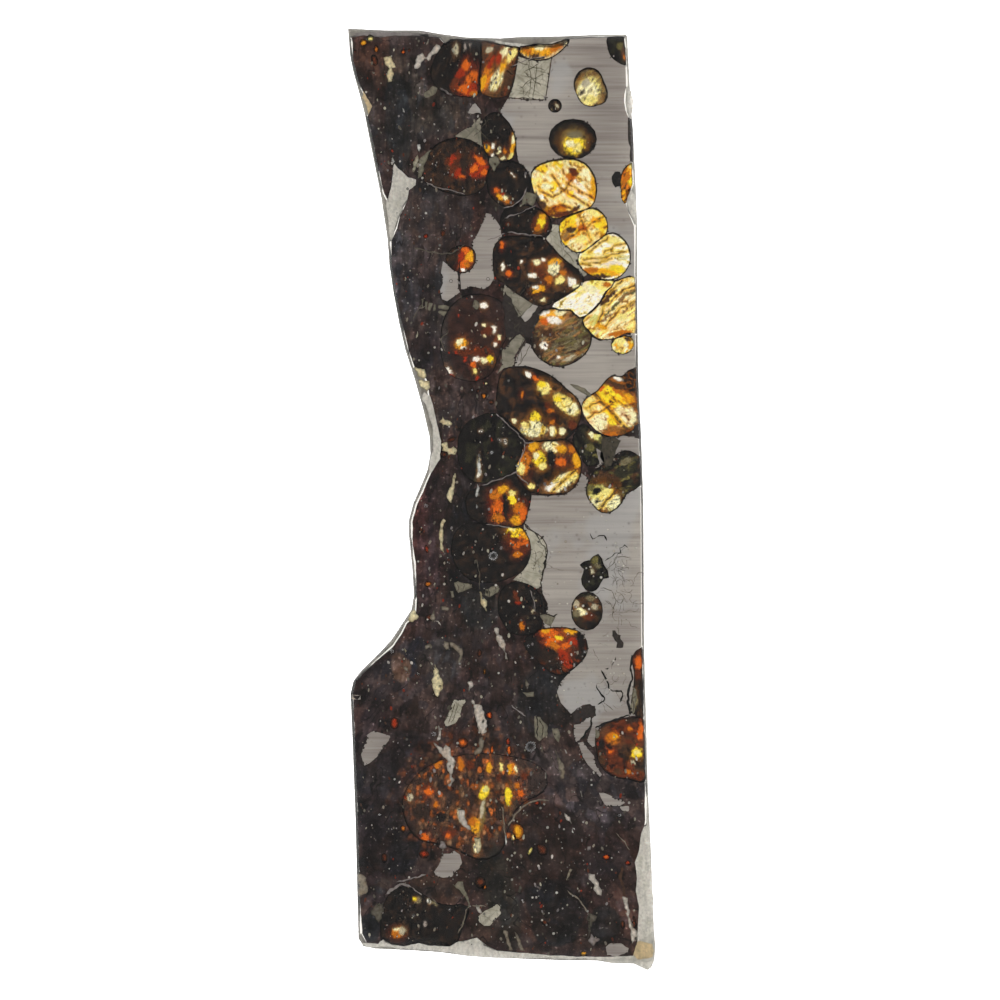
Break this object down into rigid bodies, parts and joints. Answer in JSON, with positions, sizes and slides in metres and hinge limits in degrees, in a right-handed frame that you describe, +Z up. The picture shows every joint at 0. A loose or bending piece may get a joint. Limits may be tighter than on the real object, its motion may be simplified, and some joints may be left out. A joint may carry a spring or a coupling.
{
  "type": "pallasite meteorite slice",
  "caption": "Thin sawn slice of a stony-iron meteorite: glassy olivine crystals, bright metal and dark weathered rock, sealed in a clear resin coat and flat on both faces.",
  "frame": {"origin": "middle of the slab's bounding box on its flat underside, which is the surface it lies on", "axes": "+Z up through the thickness, +Y along the length towards the end with most of the crystals, +X to the right seen from above, towards the straight sawn side"},
  "size_m": [0.0308, 0.0944, 0.0026],
  "materials": {
    "resin": "clear, glossy, slightly wavy",
    "weathered_rock": "sawn and polished, red-brown to black",
    "metal": "nickel-iron, satin, fine saw lines",
    "troilite": "iron sulphide, satin, bronze grey",
    "olivine_black": "glassy, close to opaque",
    "olivine_green": "glassy, dark green",
    "olivine_brown": "glassy, dark brown",
    "olivine_red": "glassy, red-brown",
    "olivine_amber": "glassy, amber, cracked",
    "olivine_yellow": "glassy, yellow, cracked",
    "olivine_pale": "glassy, pale yellow, cracked"
  },
  "bodies": {
    "root": {"metal_bottom_flake": "metal", "metal_edge_patch": "metal", "metal_island_left": "metal", "metal_island_right": "metal", "metal_left_flake": "metal", "metal_lower_right": "metal", "metal_middle_right": "metal", "metal_right_flake": "metal", "metal_tongue_lower": "metal", "metal_tongue_upper": "metal", "metal_upper_right": "metal", "olivine_amber_edge": "olivine_amber", "olivine_amber_hexagon": "olivine_amber", "olivine_amber_rimmed": "olivine_amber", "olivine_amber_specked": "olivine_amber", "olivine_bead": "olivine_black", "olivine_black_bottom_left": "olivine_black", "olivine_black_lower": "olivine_black", "olivine_black_middle": "olivine_black", "olivine_black_round": "olivine_black", "olivine_black_top_left": "olivine_black", "olivine_brown_oval": "olivine_brown", "olivine_celled_amber": "olivine_amber", "olivine_dark_amber": "olivine_amber", "olivine_dark_green": "olivine_green", "olivine_dark_oval": "olivine_black", "olivine_dark_red": "olivine_red", "olivine_dark_wedge": "olivine_black", "olivine_green_arrow": "olivine_green", "olivine_green_edge": "olivine_green", "olivine_half_bright": "olivine_brown", "olivine_half_moon_top": "olivine_brown", "olivine_orange_edge": "olivine_brown", "olivine_orange_red": "olivine_red", "olivine_pale_egg": "olivine_pale", "olivine_pale_shard": "olivine_pale", "olivine_rusted_cluster": "olivine_brown", "olivine_shattered_yellow": "olivine_yellow", "olivine_small_pale": "olivine_pale", "olivine_small_red": "olivine_red", "olivine_sparkling_brown": "olivine_brown", "olivine_striped_top_left": "olivine_amber", "olivine_wedge_top_corner": "olivine_black", "olivine_yellow_banded": "olivine_yellow", "olivine_yellow_edge": "olivine_yellow", "olivine_yellow_eye": "olivine_yellow", "olivine_yellow_middle": "olivine_yellow", "olivine_yellow_split": "olivine_yellow", "olivine_yellow_upper": "olivine_yellow", "resin_coat_lower": "resin", "resin_coat_upper": "resin", "troilite_bottom": "troilite", "troilite_crescent": "troilite", "troilite_fang": "troilite", "troilite_lower": "troilite", "troilite_middle": "troilite", "troilite_square": "troilite", "troilite_triangle": "troilite", "troilite_upper_strip": "troilite", "weathered_rock": "weathered_rock"}
  },
  "joints": []
}
